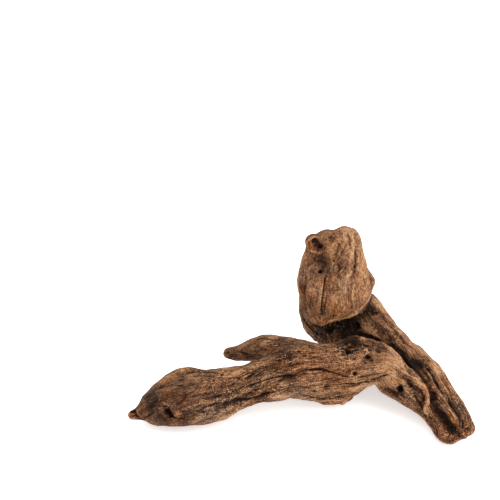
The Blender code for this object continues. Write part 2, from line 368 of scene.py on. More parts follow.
# cracks and ridges: width and depth in mm, how dark, and the path in pixels of the photograph
# a depth below 0 is a ridge and 0 is colour only, and a dark below 0 is a light edge, partly wear and partly
# a painted highlight on a lit rim; a colour-only dark stroke is painted shade
cracks = {
    # club
    "nubRing": (0.8, 0.8, 0.8, [(135.3, 408), (134.7, 412), (137, 417), (141, 420)]),
    "clubHole": (0.55, 1.6, 0.8, [(162, 406.5), (167.5, 408), (170, 412.5), (171, 415.5), (174, 417.8)]),
    "clubHoleArm": (0.5, 0.9, 0.5, [(170.5, 415), (169.5, 419)]),
    "clubHoleArmTop": (0.5, 0.9, 0.5, [(168, 408.5), (170.5, 405.8)]),
    "clubHoleEdge": (0.8, -0.35, -0.2, [(163, 411), (164.5, 415), (168, 419)]),
    "clubStep": (0.8, 0.4, 0.35, [(161, 388), (172, 385), (182, 386.5), (186, 391)]),
    "clubStepDown": (0.8, 0.35, 0.4, [(184, 391), (185, 397), (180, 403), (173, 406)]),
    "clubTop": (0.8, 0.35, 0.4, [(183, 377), (192, 372.5), (207, 371), (221, 373.7)]),
    "clubTopLow": (0.8, 0.25, 0.25, [(190, 378), (204, 375), (222, 378), (238, 377)]),
    "clubMiddle": (0.9, 0.4, 0.45, [(201, 397.5), (207, 399), (213, 398.5)]),
    "clubLow": (0.8, 0.4, 0.45, [(199, 412), (207, 412.5)]),
    "clubLower": (0.8, 0.4, 0.45, [(212, 416), (221, 415)]),
    "clubSide": (0.8, 0.35, 0.35, [(213, 397), (224, 395.5), (236, 391)]),
    "clubSlope": (2.5, -1.2, -0.02, [(158, 387), (163, 383), (172, 376), (182, 372), (194, 371)]),
    "clubRidge": (2.0, -0.3, -0.12, [(178, 371), (190, 377), (205, 381), (222, 384)]),
    "nubRim": (0.7, -0.3, -0.4, [(137, 405.5), (138, 410), (139, 415.5)]),
    "nubUnder": (0.6, 0.6, 0.8, [(138.5, 418.5), (141, 420), (143, 421)]),
    # waist
    "grooveStart": (0.9, 0.8, 0.7, [(205, 406.3), (214, 404.3), (221, 402.3)]),
    "grooveMiddle": (1.3, 0.7, 0.6, [(221, 406), (227, 403.5), (235, 400.5), (244, 399.5)]),
    "longGroove": (0.9, 1.1, 0.85, [(238, 401), (247, 399.3), (257, 397.5), (267, 393.8), (273, 392.3)]),
    "waistUpper": (0.8, 0.35, 0.35, [(228, 391), (246, 387), (258, 383)]),
    "waistShade": (1.3, 0.3, 0.35, [(244, 376), (256, 374), (270, 366)]),
    # waistRim: a painted highlight along the lower edge, where light comes up from the floor
    "waistRim": (1.2, -0.2, -0.35, [(262, 399.5), (275, 396.5), (290, 396)]),
    "waistBelow": (2.0, -0.9, -0.02, [(250, 402), (260, 401), (272, 399)]),
    # trunk
    "crackLeft": (0.8, 0.7, 0.7, [(250, 385.5), (263, 381), (278, 377.2)]),
    "crackLeftEnd": (0.6, 0.9, 0.95, [(276, 377.2), (286, 376.2), (295.5, 376)]),
    "upperLine": (0.7, 0.25, 0.3, [(267, 371), (287, 367), (303, 363), (330, 362), (352, 366)]),
    "slot": (0.7, 0.7, 0.8, [(295.5, 388.3), (304, 387.7)]),
    "slotRight": (0.6, 0.4, 0.4, [(310, 391), (318, 391.5)]),
    "longCrack": (0.5, 0.8, 0.75, [(298.5, 371), (311, 369.7), (320, 370), (330, 371.9), (338, 373.9),
                                   (346, 376.3), (352, 377)]),
    "longCrackEnd": (0.5, 0.35, 0.35, [(352, 377), (362, 377), (369, 375.5), (379, 373.7), (391, 370)]),
    "lowerCrack": (0.5, 0.8, 0.85, [(341, 383), (349, 384.3), (356, 384), (365, 382), (374, 378.7),
                                    (383, 376), (392, 373)]),
    "lowerFolds": (1.0, 0.35, 0.3, [(300, 380), (318, 380), (338, 381), (352, 380)]),
    "swirl": (0.8, 0.3, 0.25, [(305, 384), (312, 381), (322, 382), (327, 386), (320, 390)]),
    "archTop": (2.2, -1.4, -0.02, [(365, 381), (371, 381.5), (377, 383)]),
    # trunkRim: a painted highlight along the shoulder's lower rim, where light comes up from the floor
    "trunkRim": (1.2, -0.2, -0.5, [(352, 391), (361, 385.5), (371, 382.5), (380, 382)]),
    "archLeft": (2.0, 1.0, -0.01, [(350, 400), (354.5, 395), (360, 390.5)]),
    # twig
    "twigLine": (0.6, 0.3, 0.4, [(234, 351), (243, 353), (252, 357)]),
    "crotchFill": (1.2, -0.8, -0.02, [(249, 362.5), (254, 362), (259, 361)]),
    "twigTopFill": (1.5, -0.5, -0.02, [(236, 347), (245, 345), (252, 341)]),
    # front lobe
    "lobeCrack": (0.8, 1.5, 0.95, [(304, 395.5), (311, 398), (319, 400), (328, 400.5), (336, 398.5),
                                   (344, 396)]),
    "lobeFold": (0.9, 0.5, 0.4, [(314, 394), (330, 396.5), (347, 391)]),
    "lobeFoldLow": (0.7, 0.4, 0.4, [(325, 398), (336, 400), (345, 397)]),
    "lobeLedge": (0.8, -0.9, -0.35, [(318, 402.5), (327, 403.5), (336, 403), (342, 402.5), (346, 401)]),
    "lobeEnd": (1.5, -0.5, -0.3, [(338, 402), (343, 402), (347, 399.5)]),
    # shoulder
    "shoulderCrease": (1.5, 0.6, 0.45, [(382, 387), (387, 390.5), (393, 393.5), (399, 394.5)]),
    "shoulderArc": (0.7, -0.6, -0.3, [(382, 342.5), (388, 346), (394, 350.5), (399.5, 356.5),
                                      (402.3, 364.5), (407, 371)]),
    # arcEdge is a painted highlight on the shoulder's lit edge, and arcShade is painted shade just below it
    # in the valley
    "arcEdge": (0.6, 0.0, -0.9, [(382, 342.5), (387, 346.5), (391, 350), (396, 356.5), (400, 361.5),
                                 (403, 366), (406.5, 372), (411, 377.5)]),
    "arcShade": (0.9, 0.0, 0.6, [(398, 354), (402, 359), (405.5, 364), (409, 369.5)]),
    # sand pocket
    "sandyCrease": (0.8, 1.0, 0.8, [(347, 347.5), (350, 354)]),
    "sandyCreaseTop": (1.2, 0.9, 0.7, [(344.5, 344), (351, 341), (358, 342)]),
    "sandyRim": (1.0, -0.5, -0.3, [(346, 338.3), (356.5, 336.3), (367, 339.5)]),
    # fork and the valley under it
    "forkStart": (1.3, 1.3, 0.8, [(386, 343), (394, 347.5), (402, 353.5), (407, 359), (411, 364),
                                  (415, 368.5)]),
    "forkValley": (2.4, 0.7, 0.6, [(397, 350), (404, 356), (411, 362.5), (417, 369)]),
    "forkGroove": (2.0, 1.8, 0.5, [(415, 364), (420, 373), (425.5, 382), (430, 392), (434, 404)]),
    "forkGrooveLow": (1.3, 0.6, 0.4, [(434, 405), (441, 415), (449, 424.5), (456, 433)]),
    "forkHollow": (2.2, 2.8, 0.6, [(403, 356.5), (407, 362), (410.5, 367.5)]),
    # valleyTopShade: painted shade on the valley's upper wall
    "valleyTopShade": (1.8, 0.0, 0.5, [(396, 351.5), (403, 356), (410, 360.5), (417, 364), (423, 368)]),
    # knot, fin and hook
    "finFace": (1.1, -0.6, -0.2, [(427.5, 405), (429, 412), (430, 419)]),
    "knotCrease": (0.8, 0.6, 0.5, [(405.5, 380), (409, 384), (413, 388.5)]),
    "knotHoleTop": (0.8, 0.9, 0.6, [(401.5, 385), (400.5, 389), (397.5, 394)]),
    "finHollow": (0.8, 0.6, 0.5, [(409.5, 384), (413, 387), (418, 392.5)]),
    "finHollowLow": (0.7, 0.6, 0.6, [(424, 394.5), (424.5, 398), (421.5, 403)]),
    "finCrease": (0.8, 0.7, 0.6, [(412, 390), (418, 402), (424, 412), (428, 419)]),
    "fin": (1.1, -1.6, -1.0, [(411, 375.5), (415, 380), (420, 385), (425, 389), (427.5, 395),
                              (427.3, 402.5), (425.5, 410), (427.5, 418)]),
    "finCurl": (0.7, -0.5, -0.6, [(415, 371.5), (417.5, 375), (419.5, 379.5)]),
    # finEdge and hookEdge: painted highlights along the lit edges of the fin and the hook
    "finEdge": (0.6, -0.5, -0.7, [(427, 390), (428, 397), (428.3, 403)]),
    "finTop": (1.2, -0.4, -0.15, [(410.5, 376), (415, 379), (419.5, 383), (424, 388)]),
    "hookEdge": (0.6, 0.0, -0.45, [(413, 373), (416, 371.4), (418, 374.5), (421, 379), (425, 385.7)]),
    # limb
    "limbSeamFill": (1.3, -0.9, -0.25, [(426, 369), (432, 375), (438, 382), (443, 388)]),
    "limbSide": (2.0, 0.5, 0.01, [(413, 338), (418, 343), (422, 347)]),
    "limbSideLow": (2.2, 0.9, 0.01, [(436, 364), (441, 370), (444, 375), (448, 382)]),
    "limbCrease": (1.1, 1.2, 0.9, [(352, 332), (364, 334.5), (376, 340), (388, 347)]),
    "limbGroove": (0.8, 0.7, 0.5, [(424, 366), (432, 375), (440, 388), (447, 401), (454, 415)]),
    "limbGrooveOuter": (0.9, 0.7, 0.55, [(446, 390), (450, 399), (455, 409), (461, 420)]),
    "limbUpperGroove": (1.0, 0.15, 0.08, [(388, 322), (400, 337), (414, 351), (428, 362)]),
    "tipNotch": (1.0, 1.2, 0.6, [(458, 433), (461.5, 439)]),
    "tipLine": (0.7, 0.6, 0.6, [(462.5, 419), (464, 428)]),
    "limbRidge": (1.1, -0.7, -0.3, [(427.5, 371), (435, 385), (445, 400), (452.5, 412.5), (457.5, 425)]),
    "limbRidgeTop": (1.1, -0.5, -0.25, [(420, 361), (430, 365), (437.5, 375), (445, 388.5), (450, 400)]),
    "limbTopRidge": (1.4, -0.4, -0.3, [(372.5, 297), (384, 313), (396, 327), (412, 343), (428, 357),
                                       (438, 371)]),
    "limbRidgeEdge": (0.6, -0.3, -0.3, [(422, 364), (428, 373), (433, 383), (437.5, 391)]),
    "limbSeam": (0.5, 0.5, 0.6, [(426, 367), (432, 376.5), (438, 386), (443, 396)]),
    "limbFaceLine": (0.6, 0.3, 0.3, [(437, 372), (443, 381), (450, 391)]),
    "limbEdgeFill": (2.5, -0.45, -0.02, [(450, 391), (458, 400), (464, 409), (468, 418)]),
    "footLeftTrim": (2.2, 0.45, -0.01, [(425, 412), (432, 425), (438, 435)]),
    # neck and the recess under the burl
    "neckSide": (3.0, -1.6, -0.02, [(304, 322), (309, 329), (315, 336), (320, 341)]),
    "neckStreak": (0.9, 0.6, 0.6, [(303, 316), (309, 326), (321, 336)]),
    # burl
    "burlCrack": (0.5, 0.6, 0.8, [(325.6, 275), (324.5, 281.5), (323.2, 291.5), (322, 300.5),
                                  (321.3, 309.5), (320.4, 318)]),
    "burlCrackTwin": (0.45, 0.2, 0.4, [(326.8, 296), (325, 304), (323.5, 311), (322, 316)]),
    "burlCrackTop": (0.6, 0.25, 0.12, [(330, 258), (329, 268), (326, 277)]),
    "burlCrackFill": (0.9, -0.6, -0.02, [(324, 288), (322.5, 300), (321, 311), (321, 318)]),
    "burlEdge": (0.7, 0.6, 0.5, [(355.5, 247), (355.7, 261.5), (354.4, 269.5), (352.8, 277)]),
    "burlEdgeLow": (0.7, 0.4, 0.12, [(352.8, 277), (351.7, 287), (351, 300.5), (352, 307)]),
    "burlLeftLine": (0.7, 0.2, 0.06, [(309, 262), (306, 275), (308, 292), (312, 306)]),
    "burlMidLine": (0.7, 0.2, 0.06, [(338, 284), (339, 298), (337, 308)]),
    # burlLip: a light line along the lip, partly wear and partly a painted highlight on its lit edge
    "burlLip": (0.8, -0.6, -0.9, [(306, 319), (312, 323.5), (323, 324.5), (334, 320.5), (347.8, 317.5),
                                  (360, 311.5)]),
    "burlFold": (0.8, -0.6, -0.55, [(323.5, 281), (320.5, 296), (318, 311.5)]),
    "burlStain": (2.4, 0.1, 0.3, [(320, 255), (323, 261), (325.5, 268), (326.5, 277)]),
    "burlTopDark": (0.9, 0.25, 0.55, [(345, 247), (342.5, 251), (340, 256)]),
    "burlTopDarkLow": (0.9, 0.25, 0.45, [(337, 262), (339.5, 268), (338.5, 275)]),
    "burlTopDarkLeft": (1.3, 0.2, 0.35, [(329, 236), (332.5, 239.5), (331, 245)]),
    "burlTopDarkRight": (0.8, 0.2, 0.4, [(346, 232), (350, 240), (350.5, 250)]),
    "burlTopLight": (1.0, -0.3, -0.4, [(352, 233), (353, 242), (352.5, 252), (352, 262)]),
    "burlTopLightLeft": (1.0, -0.3, -0.35, [(336, 240), (332, 248), (331, 256)]),
    "burlTopLightMiddle": (1.0, -0.25, -0.25, [(346, 254), (343, 260), (344, 268)]),
    # the burl's rims: light lines, partly wear and partly painted highlights on the lit edges
    "burlRimRight": (0.7, -0.2, -0.8, [(356.5, 232), (361.3, 246), (364.5, 258), (368.5, 268.5),
                                       (373.5, 276)]),
    "burlRimRightLow": (0.7, -0.2, -0.8, [(374.2, 281), (371.3, 292), (364, 305), (352, 315.5)]),
    "burlRimLeft": (0.6, -0.2, -0.6, [(305, 254), (300.5, 266), (298.2, 279), (299.5, 294), (301.3, 306)]),
    "burlRidge": (1.2, -0.3, -0.2, [(350, 248), (350.5, 262), (349, 276)]),
    "burlTopSwirl": (0.8, 0.2, 0.4, [(334, 260), (336, 255), (337.5, 249), (341, 243)]),
    "burlMidDark": (0.8, 0.2, 0.3, [(350, 283), (348.5, 292), (349.5, 303)]),
    "burlMidLight": (1.0, -0.2, -0.4, [(353.5, 282), (353, 293), (352.5, 304)]),
    "burlLeftDark": (0.8, 0.2, 0.3, [(304.5, 283), (304, 292), (306, 300)]),
    "burlLeftLight": (0.9, -0.2, -0.4, [(309, 278), (308, 288), (310, 298)]),
    "burlNubFill": (3.2, -0.4, -0.02, [(371, 272), (373, 280), (372, 286)]),
    # burlRimUnder: painted shade just under the burl's rim
    "burlRimUnder": (0.9, 0.0, 0.65, [(372, 297), (368.5, 304), (363, 311), (355, 316)]),
    # ear
    # earRim and earLip: painted highlights on the lit rim round the ear's dark hollow
    "earRim": (0.8, -0.4, -0.65, [(307.3, 248), (307, 243), (310, 239), (314, 237.3), (318, 238),
                                  (321.5, 241.5)]),
    "earMouth": (1.4, 0.6, 0.35, [(310.5, 242), (314, 240.5), (318, 241.5)]),
    "earMouthLow": (1.2, 0.9, 0.8, [(316.5, 245), (319.5, 246.5), (323, 248.5)]),
    "earLip": (0.7, -0.4, -0.8, [(307.5, 249.5), (313, 251.5), (319, 252.5), (324.5, 251)]),
    "earFold": (0.6, -0.3, -0.5, [(309.5, 245.5), (313.5, 243.5), (317, 243)]),
}

# pits and bumps: radius and depth in mm, how dark, and the middle's pixel, signed as above
hollows = {
    # club
    "clubHollow": (1.2, 1.0, 0.7, (165, 407.6)),
    "nubHole": (1.1, 0.9, 1.0, (133.3, 411)),
    "clubHollowLow": (0.8, 0.8, 0.4, (172, 416)),
    "clubBump": (1.6, -0.7, -0.4, (177.5, 413.5)),
    "clubPit": (0.8, 0.7, 0.7, (222.3, 374)),
    "clubSpot": (0.6, 0.5, 0.5, (207.5, 414.5)),
    # trunk
    "trunkPit": (0.8, 0.7, 0.7, (304.8, 345.5)),
    # front lobe
    "lobeTip": (1.5, -0.3, -0.2, (343, 402)),
    # shoulder
    "shoulderPin": (0.8, 1.8, 0.9, (355, 373.5)),
    "shoulderHollow": (0.9, 1.2, 0.8, (368.5, 357.5)),
    "shoulderHollowLow": (0.6, 0.7, 0.6, (365.5, 363.5)),
    "shoulderDip": (3.0, 0.5, 0.1, (367, 360)),
    "shoulderHollowRight": (0.6, 0.7, 0.6, (372, 360.5)),
    # sand pocket
    "sandyBump": (1.8, -0.8, -0.35, (361.9, 339.6)),
    "sandyBumpLow": (1.3, -0.9, -0.3, (350.5, 347)),
    "sandyDark": (2.0, 0.9, 0.5, (345, 350)),
    "sandyDarkTop": (1.3, 0.8, 0.55, (353, 343.5)),
    "sandyDarkRight": (1.4, 0.7, 0.4, (378, 350.5)),
    "sandyPitRight": (1.3, 0.9, 0.5, (366, 346)),
    "sandyDarkLow": (1.3, 0.8, 0.5, (349.5, 352)),
    # fork and the valley under it
    # painted shade in the fork valley, colour only
    "forkShade": (1.6, 0.0, 0.4, (400.5, 357)),
    "valleyShade": (2.2, 0.0, 0.45, (409, 363)),
    "valleyShadeLow": (2.0, 0.0, 0.4, (414.5, 366)),
    # knot, fin and hook
    "knotHole": (1.0, 0.8, 0.7, (400.6, 387)),
    "knotBump": (1.5, -0.8, -0.35, (404.4, 382.5)),
    "knotPit": (0.9, 0.6, 0.5, (411, 386)),
    "finFoot": (0.9, 0.8, 0.8, (429, 419)),
    # painted shade in the hollows beside the fin and under the hook, colour only
    "finRightShade": (1.5, 0.0, 0.4, (426, 379)),
    "finRightShadeLow": (1.5, 0.0, 0.35, (430.5, 386.5)),
    "hookPocket": (1.2, 0.0, 0.45, (407.5, 380)),
    # limb
    "limbPit": (0.8, 0.7, 0.6, (403.7, 342)),
    "limbDeepHole": (1.5, 1.2, 0.6, (372, 313)),
    "limbDeepSpot": (1.0, 1.1, 0.7, (376.5, 312.7)),
    "limbSpot": (1.3, 0.5, 0.5, (450.5, 404)),
    "tipPit": (0.9, 0.7, 0.5, (468, 430)),
    # painted shade under the burl's rim, colour only
    "limbDeepShade": (2.4, 0.0, 0.7, (373.5, 307.5)),
    "limbDeepShadeLow": (1.8, 0.0, 0.4, (374, 315)),
    # neck and the recess under the burl
    "neckHole": (1.8, 1.6, 0.6, (329, 330.5)),
    "neckHoleRight": (1.5, 1.4, 0.9, (356.7, 325.5)),
    # recessShade: painted shade in the recess under the burl, colour only
    "recessShade": (2.0, 0.0, 0.35, (351, 327)),
    # burl
    "burlHole": (0.85, 1.8, 0.9, (320.3, 271.7)),
    "burlNubRing": (2.0, 0.5, 0.3, (370.5, 279)),
    "burlPitMiddle": (0.8, 0.4, 0.5, (338.9, 277)),
    "burlPitRight": (0.7, 0.4, 0.5, (355, 266.5)),
    "burlTopPit": (0.9, 0.4, 0.4, (331, 237)),
    "burlSpotLeft": (1.2, 0.3, 0.3, (302.5, 293)),
    # ear
    "earHole": (1.2, 0.9, 0.3, (320, 246.5)),
}

# rough eaten-out places: radius and depth in mm, and the middle's pixel
roughSpots = {
    # club
    "clubEnd": (3.0, 0.35, (133, 413)),
    "clubHole": (4.0, 0.3, (171, 412)),
    # waist
    "waist": (8.0, 0.3, (228, 398)),
    "waistRight": (8.0, 0.25, (250, 384)),
    # twig
    "twigPatch": (3.0, 0.4, (285, 356)),
    # sand pocket
    "sandyPatch": (7.0, 1.2, (347, 347)),
    "sandyPatchRight": (5.5, 1.0, (367, 347)),
    # knot, fin and hook
    "knot": (5.5, 0.12, (409, 390)),
    "finSide": (4.0, 0.08, (418, 400)),
    # limb
    "limbTop": (7.0, 0.45, (371, 325)),
    "limbBend": (5.0, 0.35, (390, 336)),
    "tip": (4.0, 0.4, (464, 434)),
    # neck and the recess under the burl
    "neckFront": (9.0, 0.6, (340, 328)),
    # burl
    "burlFoot": (5.0, 0.3, (338, 315)),
    # ear
    "ear": (3.0, 0.4, (313, 243)),
}

# lighter (above 0) and darker (below 0) places: the wood's own tone, together with painted shade and painted
# highlights where marked below: radius in mm, how much, and the middle's pixel
toneAndPaintedLight = {
    # club
    "nub": (2.5, -0.25, (131.5, 413)),
    "clubWide": (12, -0.2, (172, 402)),
    "clubTip": (7, -0.75, (148, 405)),
    "clubTipTop": (3.5, -0.45, (154, 394)),
    "clubHole": (6, -0.4, (160, 415)),
    "clubRed": (6, -0.4, (173, 393)),
    "clubUnder": (6, -0.2, (180, 418)),
    "clubGrey": (3.5, -0.25, (181, 382)),
    "clubTop": (7, 0.05, (207, 380)),
    "clubTopRight": (5, 0.8, (232, 374)),
    "clubMiddle": (3.5, -0.4, (192, 407)),
    "clubBand": (8, -0.12, (212, 388)),
    "clubLow": (6, -0.35, (232, 404)),
    # clubFoot: painted light along the club's lower edge
    "clubFoot": (5, 0.8, (222, 415)),
    "clubTopLeft": (7, 0.3, (168, 385)),
    "clubBandLow": (5, -0.5, (216, 400)),
    "clubFace": (5, -0.25, (194, 388)),
    "clubUnderLeft": (4, -0.4, (163, 420)),
    "clubBottom": (3, -0.4, (188, 424)),
    "clubSpotLight": (2.5, 0.6, (173, 423)),
    "clubRidgeLight": (3, 0.3, (205, 392)),
    "clubGreySpot": (1.6, -0.45, (179.5, 380.5)),
    "clubGreySpotRight": (1.6, -0.45, (191, 383.5)),
    "clubDark": (4, -0.3, (207, 385)),
    "clubLeftFace": (4, -0.3, (178, 393)),
    "clubTopSlope": (5, 0.35, (179, 381)),
    # waist
    "waistLow": (6, -0.6, (263, 399)),
    # waistRim: painted light along the waist's lower edge
    "waistRim": (4, 0.6, (278, 393)),
    "waistDark": (6, -0.5, (231, 392)),
    "waistTop": (5, 0.55, (262, 371)),
    "waistMiddle": (4, -0.2, (238, 388)),
    "waistLeft": (4, -0.3, (246, 382)),
    "waistLight": (4, 0.3, (262, 391)),
    "waistEdge": (4, -0.25, (258, 398)),
    # trunk
    "trunkTop": (6, -0.15, (300, 350)),
    "trunkMiddle": (7, 0.25, (306, 371)),
    "trunkLight": (8, 0.15, (330, 363)),
    "trunkLow": (8, 0.15, (316, 385)),
    "trunkLowDark": (5, -0.1, (300, 390)),
    "trunkRight": (8, 0.2, (348, 364)),
    # trunkRim: painted light along the shoulder's lower rim
    "trunkRim": (5, 0.4, (367, 385)),
    "trunkDark": (5, -0.45, (320, 368)),
    "longCrackEnd": (4, -0.5, (355, 375)),
    "trunkTopLight": (5, 0.35, (297, 354)),
    # trunkLowLight: painted light along the trunk's lower edge
    "trunkLowLight": (4, 0.35, (298, 397)),
    "trunkLeftDark": (5, -0.45, (266, 380)),
    "trunkRightLow": (5, 0.25, (345, 373)),
    "trunkLowSwirl": (4, 0.25, (323, 384)),
    # trunkEdge: painted light along the lower edge under the arch
    "trunkEdge": (3, 0.8, (355, 390)),
    "trunkRightHigh": (4, 0.15, (348, 368)),
    "trunkRightDark": (4.5, -0.35, (342, 361)),
    "trunkTopDark": (4, -0.25, (295, 367)),
    "trunkTopEdge": (5, -0.35, (298, 343)),
    # twig
    "twigEnd": (6, -0.45, (232, 354)),
    "twig": (7, -0.3, (250, 350)),
    "twigRoot": (5, 0.25, (265, 351)),
    "twigPatch": (6, -0.75, (285, 355)),
    "twigTop": (6, -0.35, (282, 344)),
    "twigTopLeft": (4, -0.3, (263, 340)),
    # twigLow and twigCrotch: painted shade under the twig and in its crotch
    "twigLow": (4, -0.25, (246, 356)),
    "twigCrotch": (4, -0.5, (254, 364)),
    # front lobe
    "lobe": (6, 0.1, (336, 389)),
    # lobeLow: painted light along the lobe's lower edge
    "lobeLow": (5, 0.5, (333, 401)),
    "lobeDark": (5, -0.4, (330, 391)),
    # shoulder
    "shoulder": (6, 0.45, (387, 357)),
    "shoulderRight": (6, 0.3, (392, 366)),
    "shoulderEdge": (3, 0.3, (399, 362)),
    "shoulderTop": (4.5, -0.6, (376, 353)),
    "shoulderTopRight": (4, -0.4, (381, 347)),
    "shoulderDark": (3, -0.3, (373, 363)),
    # sand pocket
    "sandyLeft": (6.5, -1.1, (346, 346)),
    "sandyRight": (5, -0.65, (367, 345)),
    "sandyFoot": (4, -0.3, (353, 353)),
    "sandyTop": (4.5, -0.7, (351, 341)),
    "sandyKnuckle": (2, 0.9, (362, 339)),
    "sandySide": (3.5, -0.5, (353, 351)),
    "sandyLeftLight": (3, 0.5, (345, 351)),
    "sandyRightLight": (3, 0.35, (364, 354)),
    # fork and the valley under it, with painted shade down in the valley
    "forkValley": (3.5, -0.5, (406, 355)),
    "forkValleyLow": (4, -0.6, (414, 364)),
    "forkTop": (3, -0.4, (386, 345)),
    "valley": (4.5, -0.25, (429, 388)),
    "valleyLow": (4, -0.5, (441, 421)),
    "valleyMiddle": (3.2, 0.55, (426.4, 386.7)),
    "valleyDark": (3.5, -0.75, (425, 408)),
    "forkEdge": (3.5, -1.0, (401, 357)),
    "forkWall": (4, -0.8, (414, 369)),
    "valleyLeft": (4, 0.6, (423, 385)),
    # knot, fin and hook
    "knot": (4.5, -0.9, (401, 391.5)),
    "knotLeft": (4, -0.5, (389, 390)),
    "finSide": (3, 0.1, (424, 410)),
    "finFoot": (4, 0.15, (434, 415)),
    "finLeft": (3, -0.3, (415, 393)),
    "knotRim": (4.5, 0.9, (389, 383)),
    "finDark": (4, -0.6, (420, 399)),
    "knotTop": (3.5, -0.35, (401, 379)),
    "knotLight": (4, 0.3, (392, 379)),
    "finLight": (3, 0.4, (411, 398)),
    "finRight": (3, 0.35, (427, 395)),
    "finDarkTop": (3, -0.6, (416, 380)),
    # limb
    # limbTopDark: painted shade under the burl's rim, over dark crevices
    "limbTopDark": (3.5, -1.4, (367, 309)),
    "limbTop": (4.5, 1.1, (366, 323)),
    "limbMiddle": (6, -0.1, (386, 332)),
    "limbLight": (5, 0.35, (396, 322)),
    "limbBend": (5, 0.2, (412, 340)),
    "limbRidge": (4, 0.2, (440, 374)),
    "limbLow": (6, -0.25, (456, 402)),
    "limbSide": (7, -0.1, (400, 345)),
    "limbInner": (6, -0.15, (437, 383)),
    "limbInnerLow": (6, -0.2, (448, 402)),
    "tip": (6, -0.3, (460, 432)),
    # limbRim: a painted highlight on the limb's rim by the burl
    "limbRim": (3.5, 1.8, (381, 305)),
    "limbInside": (4, 0.45, (411, 352)),
    "tipRight": (4, -0.9, (458, 416)),
    "tipLeft": (4, -0.5, (450, 433)),
    "limbLowDark": (3, -0.6, (445, 409)),
    # limbEdge and limbEdgeLow: painted highlights along the limb's right edge
    "limbEdge": (4, 0.7, (441, 370)),
    "limbEdgeLow": (4, 0.45, (459, 394)),
    "limbRimLow": (2.5, 0.5, (390, 315)),
    "limbWall": (4, -0.35, (425, 370)),
    "limbTopRight": (4, 0.45, (380, 329)),
    "limbWallLow": (3.5, -0.35, (433, 387)),
    "limbTopGroove": (3.5, -0.4, (377, 315)),
    "limbFace": (4, 0.2, (448, 392)),
    "tipLight": (3, 0.45, (450, 424)),
    "limbUpper": (4, -0.35, (386, 325)),
    "limbUpperLow": (4, -0.3, (400, 339)),
    "limbWallMiddle": (3.5, -0.4, (432, 379)),
    "limbCreaseLight": (4, 0.3, (366, 334)),
    # neck and the recess under the burl, with painted shade under the burl's overhang
    "recess": (8, -0.95, (338, 331)),
    "recessRight": (5.5, -0.85, (354, 326)),
    "neck": (7, -0.55, (313, 335)),
    "neckEdge": (3, 0.5, (309, 329)),
    "recessTop": (4, -1.0, (352, 327)),
    "neckFoot": (4, 0.4, (331, 341)),
    "recessLeft": (4, -0.5, (328, 333)),
    "recessRightLow": (4, -0.6, (351, 338)),
    # burl
    "burlMiddle": (9, 0.35, (341, 292)),
    "burlTop": (7, 0.35, (350, 252)),
    "burlTopMiddle": (7, 0.3, (336, 248)),
    # burlRight and burlRightLow: the right side lighter, partly the wood's own tone and partly painted light
    # on the side the light falls on
    "burlRight": (8, 0.5, (363, 268)),
    "burlRightLow": (7, 0.45, (360, 290)),
    "burlLeft": (7, -0.1, (309, 290)),
    "burlStain": (5, -0.7, (320, 257)),
    "burlFoot": (4, 0.1, (330, 321)),
    "burlCorner": (3.5, 0.5, (350, 233)),
    "burlStainLow": (4, -0.5, (326, 266)),
    "burlStainFoot": (4, -0.3, (326, 281)),
    "burlRightDark": (4.5, -0.75, (351.5, 272)),
    "burlLow": (6, 0.3, (340, 303)),
    "burlLeftLow": (5, 0.2, (306, 322)),
    "burlTopEdge": (4, 0.4, (339, 230)),
    "burlLeftEdge": (3, -0.45, (301, 287)),
    "burlLeftEdgeLow": (3.5, -0.6, (303, 309)),
    "burlMiddleDark": (4, -0.25, (341, 261)),
    "burlMiddleLow": (3, 0.25, (333, 276)),
    "burlLowRight": (4, -0.2, (346, 289)),
    "burlNub": (3, -0.35, (371, 280)),
    "burlFootLight": (4, 0.3, (318, 321)),
    "burlTopRightLight": (5, 0.05, (347, 264)),
    "burlCrackSide": (3, -0.3, (326, 289)),
    "burlSpotRight": (3, -0.3, (354, 292)),
    "burlLowDark": (4, -0.2, (326, 314)),
    "burlLowMiddle": (3.5, 0.3, (333, 304)),
    "burlFaceLight": (3.5, 0.25, (337, 285)),
    "burlLeftFace": (3, 0.25, (319, 288)),
    "burlMidShade": (3.5, -0.15, (326, 293)),
    "burlLipLight": (3, 0.35, (316, 323.5)),
    "burlLipLightRight": (3, 0.35, (336, 321)),
    # ear
    # ear and earInside: darker inside the ear's hollow, partly its own colour and partly painted shade
    "ear": (4, -0.8, (309, 240)),
    "earInside": (3, -0.4, (315.5, 241.5)),
    "earSide": (3, 0.4, (306, 258)),
}

